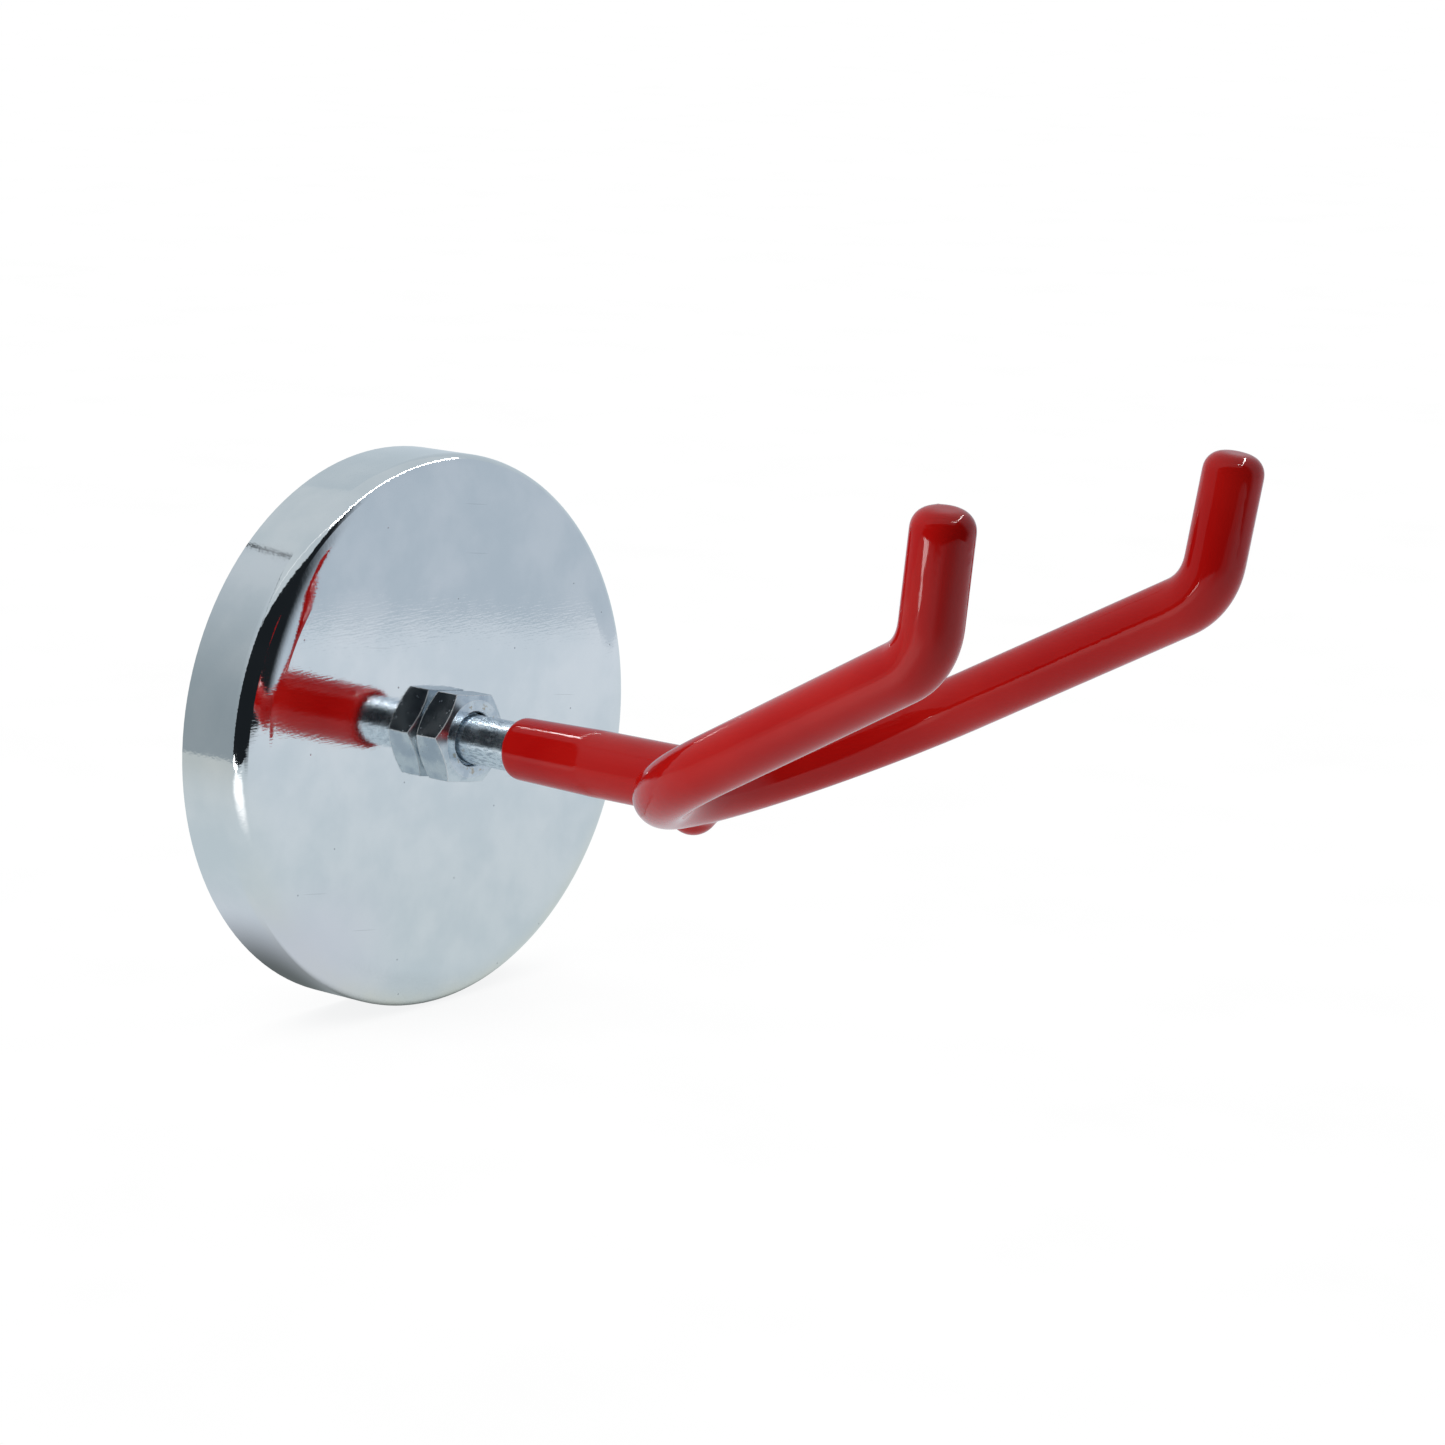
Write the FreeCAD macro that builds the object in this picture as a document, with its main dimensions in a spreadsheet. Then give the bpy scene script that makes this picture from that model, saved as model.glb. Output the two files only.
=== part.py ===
"""Magnetic double-prong hook: a pot magnet, a threaded stem with two jam nuts and a dip-coated wire fork.

The origin is the centre of the magnet's contact plane. +X points away from the wall, along the stem,
+Z is up and the two prongs spread along +Y and -Y. Lengths are millimetres and angles are degrees.
"""
import FreeCAD, Part
import math
import os

import Sketcher
from FreeCAD import Placement, Rotation, Vector

DIMENSIONS = [
    ("cup_diameter", 81.3, "outside diameter of the steel cup, 3.2 inch"),
    ("cup_depth", 12.7, "contact plane to the cup's outer face, 1/2 inch"),
    ("cup_wall", 2.0, "sheet thickness of the cup"),
    ("crown_start", 35.0, "radius where the flat face ends and its crowned edge begins"),
    ("crown_radius", 12.0, "profile radius of the face's crowned edge"),
    ("shoulder_radius", 2.3, "outer radius of the pressed shoulder"),
    ("corner_radius", 1.2, "inner radius of the cup's corner"),
    ("rim_chamfer", 0.3, "broken edge of the rim"),
    ("hole_diameter", 8.1, "clearance hole for the stem"),
    ("magnet_diameter", 75.8, "outside diameter of the ferrite ring"),
    ("magnet_hole", 24.0, "hole of the ferrite ring, wide enough for the rear nut"),
    ("magnet_recess", 0.2, "how far the ferrite sits inside the contact plane"),
    ("magnet_chamfer", 0.6, "chamfer of the ferrite ring"),
    ("glue_thickness", 0.3, "epoxy between the ferrite and the cup's floor"),
    ("glue_recess", 1.0, "how far the epoxy sits inside the contact plane"),
    ("thread_diameter", 7.9, "major diameter of the 5/16-18 thread"),
    ("thread_pitch", 1.411, "18 threads to the inch"),
    ("thread_depth", 0.8, "height of the thread"),
    ("thread_width", 1.27, "mouth of the thread's V groove"),
    ("thread_run_out", 0.4, "how far the groove runs past the thread's stop"),
    ("shank_diameter", 7.2, "bare shank, the blank of a rolled thread"),
    ("stem_start", 3.6, "wall end of the stem"),
    ("thread_stop", 17.7, "end of the thread, inside the front nut's mouth"),
    ("nut_flats", 12.7, "width across the flats of a 5/16 jam nut"),
    ("nut_thickness", 5.6, "thickness of the jam nut"),
    ("nut_bevel_angle", 30.0, "bevel of the nut's corners"),
    ("nut_face_diameter", 11.4, "round face that the bevel leaves"),
    ("nut_cut_diameter", 15.6, "outer end of the bevel's cut, clear of the corners"),
    ("nut_turn", -8.5, "angle of the front nut about the stem"),
    ("nut_clearance", 0.05, "radial gap between a nut and the thread"),
    ("nut_countersink", 0.15, "countersink of the nut's bore"),
    ("wire_diameter", 6.35, "steel wire of the fork, 1/4 inch"),
    ("bend_radius", 27.6, "centreline radius of the fork's base bend"),
    ("bend_start", 63.8, "x of the base bend's centreline on the stem's axis"),
    ("bend_height", -0.5, "z of the base bend's centreline on the stem's axis"),
    ("rise_angle", 27.6, "slope of the fork's plane"),
    ("spread_angle", 4.7, "outward splay of each prong in the fork's plane"),
    ("prong_length", 41.8, "straight prong from the base bend to the knee's vertex"),
    ("knee_radius", 9.0, "centreline radius of the knee"),
    ("tip_length", 19.5, "knee's vertex to the top of the coated tip"),
    ("tip_lean", 8.9, "lean of the tip away from the wall"),
    ("tip_splay", 3.1, "lean of the tip to its own side"),
    ("tip_rounding", 2.6, "rounding of the coated tip"),
    ("coat_thickness", 0.98, "plastisol on the wire"),
    ("coat_start", 27.2, "x of the coat's lip on the stem"),
    ("coat_lip_diameter", 9.0, "coated stem at the lip"),
    ("coat_full_start", 42.0, "x where the coated stem reaches its full diameter"),
    ("coat_diameter", 9.6, "full diameter of the coated stem"),
    ("coat_lip_rounding", 0.8, "rounding of the lip"),
    ("weld_start", 59.8, "x of the weld bead's centre"),
    ("weld_reach", 2.6, "half length of the weld bead along the stem"),
    ("weld_width", 4.2, "half width of the weld bead"),
    ("weld_height", 4.4, "half height of the weld bead"),
    ("weld_drop", 3.7, "how far the weld's lower lump hangs below the stem's axis"),
    ("weld_lump", 2.7, "radius of the weld's lower lump"),
]


CUT_MARGIN = 0.02  # how far a cutting profile stands proud of the surface that it cuts


def fill_sheet(doc):
    """The driving dimensions: value, alias and meaning, one row each."""
    sheet = doc.addObject("Spreadsheet::Sheet", "Dimensions")
    for row, (alias, value, meaning) in enumerate(DIMENSIONS, start=1):
        sheet.set(f"A{row}", str(value))
        sheet.setAlias(f"A{row}", alias)
        sheet.set(f"B{row}", meaning)
    doc.recompute()
    return sheet


def origin_plane(body, role):
    return next(item for item in body.Origin.OriginFeatures if item.Role == role)


def add_body(doc, label):
    body = doc.addObject("PartDesign::Body", label)
    body.Label = label
    return body


def add_sketch(body, name, role="YZ_Plane", start="0"):
    """A sketch on one of the body's origin planes, moved along the plane's normal to start."""
    sketch = body.newObject("Sketcher::SketchObject", name)
    sketch.AttachmentSupport = [(origin_plane(body, role), "")]
    sketch.MapMode = "FlatFace"
    sketch.setExpression("AttachmentOffset.Base.z", start)
    return sketch


def drive(sketch, constraint, expression):
    """Add a dimension to the sketch and bind it to the sheet."""
    index = sketch.addConstraint(constraint)
    sketch.setExpression(f"Constraints[{index}]", expression)


def add_circle(sketch, radius):
    """A circle about the stem's axis."""
    circle = sketch.addGeometry(Part.Circle(Vector(), Vector(0, 0, 1), 5.0), False)
    sketch.addConstraint(Sketcher.Constraint("Coincident", circle, 3, -1, 1))
    drive(sketch, Sketcher.Constraint("Radius", circle, 5.0), radius)


def add_pad(body, sketch, length):
    """A pad that grows along +X."""
    pad = body.newObject("PartDesign::Pad", f"{sketch.Name}_pad")
    pad.Profile = sketch
    pad.setExpression("Length", length)
    sketch.Visibility = False
    return pad


def add_pocket(body, sketch, length):
    """A pocket that cuts along +X from its sketch."""
    pocket = body.newObject("PartDesign::Pocket", f"{sketch.Name}_pocket")
    pocket.Profile = sketch
    pocket.Reversed = True
    pocket.setExpression("Length", length)
    sketch.Visibility = False
    return pocket


def add_groove(body, sketch, name):
    """A full turn cut of the sketch about the stem's axis."""
    groove = body.newObject("PartDesign::Groove", name)
    groove.Profile = sketch
    groove.ReferenceAxis = (sketch, ["H_Axis"])
    groove.Angle = 360.0
    sketch.Visibility = False
    return groove


def round_pad(body, name, radii, start, length):
    sketch = add_sketch(body, name, start=start)
    for radius in radii:
        add_circle(sketch, radius)
    return add_pad(body, sketch, length)


def round_pocket(body, name, radius, start, length):
    sketch = add_sketch(body, name, start=start)
    add_circle(sketch, radius)
    return add_pocket(body, sketch, length)


def ring_edges(shape, x, radius):
    """The names of the round edges about the stem's axis at this x and radius."""
    names = []
    for number, edge in enumerate(shape.Edges, start=1):
        curve = edge.Curve
        if not isinstance(curve, Part.Circle):
            continue
        if abs(curve.Center.x - x) < 1e-3 and abs(curve.Radius - radius) < 1e-3:
            names.append(f"Edge{number}")
    return names


def dress_edges(body, kind, name, places, size):
    """A Fillet or Chamfer on the round edges at these (x, radius) places."""
    body.Document.recompute()
    base = body.Tip
    names = [found for x, radius in places for found in ring_edges(base.Shape, x, radius)]
    dress = body.newObject(f"PartDesign::{kind}", name)
    dress.Base = (base, names)
    dress.setExpression("Radius" if kind == "Fillet" else "Size", size)
    return dress


def crown_face(body):
    """Cut the face's outer zone back along an arc that leaves the flat face without a kink."""
    sketch = add_sketch(body, "crown_profile", "XY_Plane")
    # A rough arc and corners: the dimensions below put them in place.
    arc = Part.ArcOfCircle(Part.Circle(Vector(1, 35, 0), Vector(0, 0, 1), 12), 0, 0.5)
    corners = [Vector(11, 41, 0), Vector(13, 41, 0), Vector(13, 35, 0), Vector(12.7, 35, 0)]
    sketch.addGeometry(arc, False)
    for first, second in zip(corners, corners[1:]):
        sketch.addGeometry(Part.LineSegment(first, second), False)
    for edge in range(4):
        sketch.addConstraint(Sketcher.Constraint("Coincident", edge, 2, (edge + 1) % 4, 1))
    sketch.addConstraint(Sketcher.Constraint("Horizontal", 1))
    sketch.addConstraint(Sketcher.Constraint("Vertical", 2))
    sketch.addConstraint(Sketcher.Constraint("Horizontal", 3))
    sketch.addConstraint(Sketcher.Constraint("Horizontal", 0, 3, 0, 1))
    drive(
        sketch,
        Sketcher.Constraint("DistanceX", 0, 3, -1, 1, -1.0),
        "Dimensions.crown_radius - Dimensions.cup_depth",
    )
    drive(sketch, Sketcher.Constraint("DistanceY", -1, 1, 0, 3, 35.0), "Dimensions.crown_start")
    drive(sketch, Sketcher.Constraint("Radius", 0, 12.0), "Dimensions.crown_radius")
    drive(
        sketch,
        Sketcher.Constraint("DistanceY", -1, 1, 0, 2, 41.0),
        f"Dimensions.cup_diameter / 2 + {CUT_MARGIN}",
    )
    drive(
        sketch,
        Sketcher.Constraint("DistanceX", -1, 1, 1, 2, 13.0),
        f"Dimensions.cup_depth + {CUT_MARGIN}",
    )
    return add_groove(body, sketch, "crown_groove")


def make_cup(doc, size):
    """Pressed cup, open towards the wall: crowned face, rounded shoulder, clearance hole in its floor."""
    body = add_body(doc, "magnet_cup")
    outer = size("cup_diameter") / 2
    inner = outer - size("cup_wall")
    floor = size("cup_depth") - size("cup_wall")
    crown_drop = size("crown_radius") - math.sqrt(
        size("crown_radius") ** 2 - (outer - size("crown_start")) ** 2
    )
    round_pad(body, "cup_outside", ["Dimensions.cup_diameter / 2"], "0", "Dimensions.cup_depth")
    crown_face(body)
    round_pocket(
        body,
        "cup_inside",
        "Dimensions.cup_diameter / 2 - Dimensions.cup_wall",
        "0",
        "Dimensions.cup_depth - Dimensions.cup_wall",
    )
    round_pocket(body, "cup_hole", "Dimensions.hole_diameter / 2", "0", "Dimensions.cup_depth")
    dress_edges(
        body,
        "Fillet",
        "cup_shoulder",
        [(size("cup_depth") - crown_drop, outer)],
        "Dimensions.shoulder_radius",
    )
    dress_edges(
        body,
        "Fillet",
        "cup_inner_corner",
        [(floor, inner)],
        "Dimensions.corner_radius",
    )
    dress_edges(
        body, "Chamfer", "cup_rim", [(0.0, outer), (0.0, inner)], "Dimensions.rim_chamfer"
    )
    return body


def make_magnet(doc, size):
    """Ferrite ring that nearly reaches the contact plane."""
    body = add_body(doc, "ring_magnet")
    back = size("cup_depth") - size("cup_wall") - size("glue_thickness")
    round_pad(
        body,
        "ring_section",
        ["Dimensions.magnet_diameter / 2", "Dimensions.magnet_hole / 2"],
        "Dimensions.magnet_recess",
        "Dimensions.cup_depth - Dimensions.cup_wall - Dimensions.glue_thickness"
        " - Dimensions.magnet_recess",
    )
    corners = [
        (x, size(alias) / 2)
        for x in (size("magnet_recess"), back)
        for alias in ("magnet_diameter", "magnet_hole")
    ]
    dress_edges(body, "Chamfer", "ring_chamfer", corners, "Dimensions.magnet_chamfer")
    return body


def make_adhesive(doc, size):
    """Epoxy on the cup's floor and in the gap around the ferrite ring."""
    body = add_body(doc, "magnet_adhesive")
    floor = size("cup_depth") - size("cup_wall")
    inner = size("cup_diameter") / 2 - size("cup_wall")
    round_pad(
        body,
        "glue_fill",
        ["Dimensions.cup_diameter / 2 - Dimensions.cup_wall", "Dimensions.magnet_hole / 2"],
        "Dimensions.glue_recess",
        "Dimensions.cup_depth - Dimensions.cup_wall - Dimensions.glue_recess",
    )
    round_pocket(
        body,
        "glue_seat",
        "Dimensions.magnet_diameter / 2",
        "Dimensions.glue_recess",
        "Dimensions.cup_depth - Dimensions.cup_wall - Dimensions.glue_thickness"
        " - Dimensions.glue_recess",
    )
    dress_edges(
        body,
        "Fillet",
        "glue_corner",
        [(floor, inner)],
        "Dimensions.corner_radius",
    )
    return body


def cut_thread(body):
    """The helical groove, cut with a V profile from just before the stem's end to the thread's stop."""
    sketch = add_sketch(body, "thread_profile", "XY_Plane")
    # Rough corners: the dimensions below put them in place.
    corners = [Vector(2, 4, 0), Vector(3, 4, 0), Vector(2.5, 3, 0)]
    for first, second in zip(corners, corners[1:] + corners[:1]):
        sketch.addGeometry(Part.LineSegment(first, second), False)
    for line in range(3):
        sketch.addConstraint(Sketcher.Constraint("Coincident", line, 2, (line + 1) % 3, 1))
    sketch.addConstraint(Sketcher.Constraint("Horizontal", 0))
    sketch.addConstraint(Sketcher.Constraint("Equal", 1, 2))
    crest = "Dimensions.thread_diameter / 2"
    root = f"{crest} - Dimensions.thread_depth"
    drive(sketch, Sketcher.Constraint("DistanceX", 0, 1, 0, 2, 1.0), "Dimensions.thread_width")
    drive(sketch, Sketcher.Constraint("DistanceY", -1, 1, 0, 1, 4.0), f"{crest} + {CUT_MARGIN}")
    drive(sketch, Sketcher.Constraint("DistanceY", -1, 1, 1, 2, 3.0), root)
    drive(
        sketch,
        Sketcher.Constraint("DistanceX", -1, 1, 0, 1, 2.0),
        "Dimensions.stem_start - Dimensions.thread_pitch",
    )
    groove = body.newObject("PartDesign::SubtractiveHelix", "thread_groove")
    groove.Profile = sketch
    groove.ReferenceAxis = (sketch, ["H_Axis"])
    groove.Mode = "pitch-height-angle"
    groove.setExpression("Pitch", "Dimensions.thread_pitch")
    groove.setExpression(
        "Height", "Dimensions.thread_stop - Dimensions.stem_start + Dimensions.thread_run_out"
    )
    sketch.Visibility = False
    return groove


def make_stem(doc, size):
    """Rod with a rolled thread at the wall end; its other end butts on the fork's base bend."""
    body = add_body(doc, "stem_rod")
    round_pad(
        body,
        "thread_blank",
        ["Dimensions.thread_diameter / 2"],
        "Dimensions.stem_start",
        "Dimensions.thread_stop - Dimensions.stem_start",
    )
    round_pad(
        body,
        "shank",
        ["Dimensions.shank_diameter / 2"],
        "Dimensions.stem_start",
        "Dimensions.bend_start - Dimensions.wire_diameter / 2 - Dimensions.stem_start",
    )
    ends = [(size(alias), size("thread_diameter") / 2) for alias in ("stem_start", "thread_stop")]
    dress_edges(
        body,
        "Chamfer",
        "thread_ends",
        ends,
        f"(Dimensions.thread_diameter - Dimensions.shank_diameter) / 2 - {CUT_MARGIN}",
    )
    cut_thread(body)
    return body


def bevel_corners(body, name, face, inward):
    """Cut the nut's corners back with a shallow cone that meets the face just inside the flats."""
    sketch = add_sketch(body, name, "XY_Plane")
    # Rough corners: the dimensions below put them in place.
    corners = [Vector(0, 6, 0), Vector(0, 9, 0), Vector(2 * inward, 9, 0)]
    for first, second in zip(corners, corners[1:] + corners[:1]):
        sketch.addGeometry(Part.LineSegment(first, second), False)
    for line in range(3):
        sketch.addConstraint(Sketcher.Constraint("Coincident", line, 2, (line + 1) % 3, 1))
    sketch.addConstraint(Sketcher.Constraint("Vertical", 0))
    sketch.addConstraint(Sketcher.Constraint("Horizontal", 1))
    reach = "Dimensions.nut_cut_diameter / 2"
    foot = "Dimensions.nut_face_diameter / 2"
    drive(sketch, Sketcher.Constraint("DistanceY", -1, 1, 0, 1, 6.0), foot)
    drive(sketch, Sketcher.Constraint("DistanceY", -1, 1, 0, 2, 9.0), reach)
    drive(sketch, Sketcher.Constraint("DistanceX", -1, 1, 0, 1, 1.0), face)
    slope = f"({reach} - {foot}) * tan(Dimensions.nut_bevel_angle * 1 deg)"
    ends = (1, 1, 1, 2) if inward > 0 else (1, 2, 1, 1)
    drive(sketch, Sketcher.Constraint("DistanceX", *ends, 2.0), slope)
    return add_groove(body, sketch, f"{name}_groove")


def make_nut(doc, label, start):
    """Hexagonal jam nut with bevelled corners, between start and one nut thickness further along +X."""
    body = add_body(doc, label)
    sketch = add_sketch(body, f"{label}_hexagon", start=start)
    corner = 8.0
    points = [
        Vector(corner * math.cos(math.radians(60 * k)), corner * math.sin(math.radians(60 * k)), 0)
        for k in range(6)
    ]
    for first, second in zip(points, points[1:] + points[:1]):
        sketch.addGeometry(Part.LineSegment(first, second), False)
    guide = sketch.addGeometry(Part.Circle(Vector(), Vector(0, 0, 1), corner), True)
    sketch.addConstraint(Sketcher.Constraint("Coincident", guide, 3, -1, 1))
    for line in range(6):
        sketch.addConstraint(Sketcher.Constraint("Coincident", line, 2, (line + 1) % 6, 1))
        sketch.addConstraint(Sketcher.Constraint("PointOnObject", line, 1, guide))
        if line:
            sketch.addConstraint(Sketcher.Constraint("Equal", 0, line))
    sketch.addConstraint(Sketcher.Constraint("PointOnObject", 0, 1, -1))
    drive(
        sketch,
        Sketcher.Constraint("Radius", guide, corner),
        "Dimensions.nut_flats / 2 / cos(30 deg)",
    )
    add_pad(body, sketch, "Dimensions.nut_thickness")
    bevel_corners(body, f"{label}_rear_bevel", start, 1)
    bevel_corners(body, f"{label}_front_bevel", f"{start} + Dimensions.nut_thickness", -1)
    bore = "Dimensions.thread_diameter / 2 + Dimensions.nut_clearance"
    round_pocket(body, f"{label}_bore", bore, start, "Dimensions.nut_thickness")
    return body


def sink_bore(body, start, radius, size):
    """Countersink both mouths of a nut's bore."""
    mouths = [(start, radius), (start + size("nut_thickness"), radius)]
    return dress_edges(body, "Chamfer", f"{body.Label}_mouths", mouths, "Dimensions.nut_countersink")


def knee_edges(vertex, arriving, leaving, radius, end):
    """The knee's arc about this vertex and the straight tip after it."""
    half_turn = arriving.getAngle(leaving) / 2
    setback = radius * math.tan(half_turn)
    first = vertex - arriving * setback
    last = vertex + leaving * setback
    inward = (leaving - arriving).normalize()
    centre = vertex + inward * (radius / math.cos(half_turn))
    middle = centre - inward * radius
    return [Part.Arc(first, middle, last).toShape(), Part.LineSegment(last, end).toShape()]


def fork_path(size, tip_cut):
    """The fork's centreline from tip to tip, both tips stopped tip_cut short of their coated tops."""
    rise = math.radians(size("rise_angle"))
    spread = math.radians(size("spread_angle"))
    radius = size("bend_radius")
    apex = Vector(size("bend_start"), 0, size("bend_height"))
    ahead = Vector(math.cos(rise), 0, math.sin(rise))
    centre = apex + ahead * radius
    arms = []
    starts = []
    for side in (-1, 1):
        sideways = Vector(0, side, 0)
        along = ahead * math.cos(spread) + sideways * math.sin(spread)
        start = centre - ahead * radius * math.sin(spread) + sideways * radius * math.cos(spread)
        vertex = start + along * size("prong_length")
        tip = Vector(
            math.tan(math.radians(size("tip_lean"))),
            side * math.tan(math.radians(size("tip_splay"))),
            1,
        ).normalize()
        end = vertex + tip * (size("tip_length") - tip_cut)
        bent = knee_edges(vertex, along, tip, size("knee_radius"), end)
        straight = Part.LineSegment(start, bent[0].Vertexes[0].Point).toShape()
        arms.append([straight] + bent)
        starts.append(start)
    base = Part.Arc(starts[0], apex, starts[1]).toShape()
    edges = list(reversed(arms[0])) + [base] + arms[1]
    return Part.Wire(edges)


def sweep_fork(doc, name, size, tip_cut, radius):
    """A round bar along the fork's centreline."""
    spine = doc.addObject("Part::Feature", f"{name}_centreline")
    spine.Shape = fork_path(size, tip_cut)
    first = spine.Shape.OrderedEdges[0]
    start = spine.Shape.OrderedVertexes[0].Point
    heading = first.tangentAt(first.FirstParameter)
    section = doc.addObject("Part::Circle", f"{name}_section")
    section.setExpression("Radius", radius)
    section.Placement = Placement(start, Rotation(Vector(0, 0, 1), heading))
    sweep = doc.addObject("Part::Sweep", name)
    sweep.Sections = [section]
    sweep.Spine = (spine, [f"Edge{k + 1}" for k in range(len(spine.Shape.Edges))])
    sweep.Solid = True
    sweep.Frenet = False
    return sweep


def add_ellipsoid(doc, name, centre, radii):
    """An ellipsoid with its half sizes along X, Y and Z."""
    ball = doc.addObject("Part::Ellipsoid", name)
    for prop, value in zip(("Radius2", "Radius3", "Radius1"), radii):
        ball.setExpression(prop, value)
    for prop, value in zip("xyz", centre):
        ball.setExpression(f"Placement.Base.{prop}", value)
    return ball


def add_along_stem(doc, kind, name, start, sizes):
    """A Part cylinder or cone whose axis is the stem's."""
    item = doc.addObject(kind, name)
    for prop, value in sizes.items():
        item.setExpression(prop, value)
    item.Placement = Placement(Vector(), Rotation(Vector(0, 1, 0), 90))
    item.setExpression("Placement.Base.x", start)
    return item


def fuse(doc, name, shapes):
    union = doc.addObject("Part::MultiFuse", name)
    union.Shapes = shapes
    return union


def cut(doc, name, base, tool):
    result = doc.addObject("Part::Cut", name)
    result.Base = base
    result.Tool = tool
    return result


def make_weld(doc, stem, wire):
    """Weld bead around the butt joint of the stem and the base bend, with a lump under it."""
    collar = add_ellipsoid(
        doc,
        "weld_collar",
        ("Dimensions.weld_start", "0", "Dimensions.bend_height / 2"),
        ("Dimensions.weld_reach", "Dimensions.weld_width", "Dimensions.weld_height"),
    )
    lump = add_ellipsoid(
        doc,
        "weld_lump",
        ("Dimensions.weld_start", "0", "-Dimensions.weld_drop"),
        ("Dimensions.weld_lump", "Dimensions.weld_lump", "Dimensions.weld_lump"),
    )
    metal = fuse(doc, "weld_metal", [collar, lump])
    rods = fuse(doc, "weld_rods", [stem, wire])
    weld = cut(doc, "weld_bead", metal, rods)
    weld.Label = "weld_bead"
    return weld


def round_coat_edges(doc, name, base, wanted, radius):
    """A Part fillet on the edges that the wanted function picks."""
    doc.recompute()
    fillet = doc.addObject("Part::Fillet", name)
    fillet.Base = base
    fillet.Edges = [
        (number, radius, radius) for number, edge in enumerate(base.Shape.Edges, start=1) if wanted(edge)
    ]
    return fillet


def make_coat(doc, size, stem, wire, weld):
    """Plastisol skin: the outside of the coated stem, weld and fork, less the metal inside it."""
    bar = sweep_fork(
        doc, "coat_fork", size, 0.0, "Dimensions.wire_diameter / 2 + Dimensions.coat_thickness"
    )
    ends = [vertex.Point for vertex in doc.getObject("coat_fork_centreline").Shape.OrderedVertexes]
    tips = (ends[0], ends[-1])

    def is_tip(edge):
        return isinstance(edge.Curve, Part.Circle) and any(
            (edge.Curve.Center - tip).Length < 1e-3 for tip in tips
        )

    fork = round_coat_edges(doc, "coat_fork_rounded", bar, is_tip, size("tip_rounding"))
    flare = add_along_stem(
        doc,
        "Part::Cone",
        "coat_flare",
        "Dimensions.coat_start",
        {
            "Radius1": "Dimensions.coat_lip_diameter / 2",
            "Radius2": "Dimensions.coat_diameter / 2",
            "Height": "Dimensions.coat_full_start - Dimensions.coat_start",
        },
    )

    def is_lip(edge):
        return isinstance(edge.Curve, Part.Circle) and abs(edge.Curve.Center.x - size("coat_start")) < 1e-3

    lip = round_coat_edges(doc, "coat_lip", flare, is_lip, size("coat_lip_rounding"))
    sleeve = add_along_stem(
        doc,
        "Part::Cylinder",
        "coat_sleeve",
        "Dimensions.coat_full_start",
        {
            "Radius": "Dimensions.coat_diameter / 2",
            "Height": "Dimensions.weld_start - Dimensions.coat_full_start",
        },
    )
    cap = add_ellipsoid(
        doc,
        "coat_cap",
        ("Dimensions.weld_start", "0", "0"),
        ("Dimensions.weld_reach + Dimensions.coat_thickness",)
        + ("Dimensions.coat_diameter / 2",) * 2,
    )
    lump_radius = "Dimensions.weld_lump + Dimensions.coat_thickness"
    lump = add_ellipsoid(
        doc,
        "coat_lump",
        ("Dimensions.weld_start", "0", "-Dimensions.weld_drop"),
        (lump_radius, lump_radius, lump_radius),
    )
    outside = fuse(doc, "coat_outside", [fork, lip, sleeve, cap, lump])
    metal = fuse(doc, "coat_metal", [stem, wire, weld])
    coat = cut(doc, "dipped_coat", outside, metal)
    coat.Label = "dipped_coat"
    return coat


def check_objects(doc, parts):
    """Stop if an object failed, a cut removed nothing, or a sub-part is not one valid solid."""
    cuts = ("PartDesign::Pocket", "PartDesign::Groove", "PartDesign::SubtractiveHelix")
    for item in doc.Objects:
        if "Invalid" in item.State or "Error" in item.State:
            raise RuntimeError(f"{item.Name} failed: {item.State}")
        if item.TypeId in cuts and item.Shape.Volume > item.BaseFeature.Shape.Volume - CUT_MARGIN:
            raise RuntimeError(f"{item.Name} cut nothing")
    for part in parts:
        shape = part.Shape
        if shape.isNull() or not shape.isValid() or len(shape.Solids) != 1:
            raise RuntimeError(f"{part.Label} is not one valid solid")


def main():
    doc = FreeCAD.newDocument("MagneticHook")
    sheet = fill_sheet(doc)

    def size(alias):
        return float(sheet.get(alias))

    bore = size("thread_diameter") / 2 + size("nut_clearance")
    rear_start = size("cup_depth") - size("cup_wall") - size("nut_thickness")
    stem = make_stem(doc, size)
    wire = sweep_fork(
        doc, "prong_rod", size, size("coat_thickness"), "Dimensions.wire_diameter / 2"
    )
    weld = make_weld(doc, stem, wire)
    lock_nut = make_nut(doc, "lock_nut", "Dimensions.cup_depth")
    sink_bore(lock_nut, size("cup_depth"), bore, size)
    lock_nut.Placement = Placement(Vector(), Rotation(Vector(1, 0, 0), size("nut_turn")))
    rear_nut = make_nut(
        doc,
        "rear_nut",
        "Dimensions.cup_depth - Dimensions.cup_wall - Dimensions.nut_thickness",
    )
    sink_bore(rear_nut, rear_start, bore, size)
    parts = [
        make_cup(doc, size),
        make_magnet(doc, size),
        make_adhesive(doc, size),
        stem,
        lock_nut,
        rear_nut,
        wire,
        weld,
        make_coat(doc, size, stem, wire, weld),
    ]
    doc.recompute()
    check_objects(doc, parts)
    os.makedirs("parts", exist_ok=True)
    for part in parts:
        part.Shape.exportStep(f"parts/{part.Label}.step")
        box = part.Shape.BoundBox
        print(f"{part.Label}: {part.Shape.Volume:.1f} mm3, x {box.XMin:.2f} to {box.XMax:.2f}")


main()
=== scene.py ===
"""Looks for the magnetic double-prong hook: chrome pot magnet, zinc plated rod and nuts, red dipped fork.

Everything is in metres in the CAD frame: +X leaves the wall along the stem and +Z is up.
"""
import math

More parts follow.
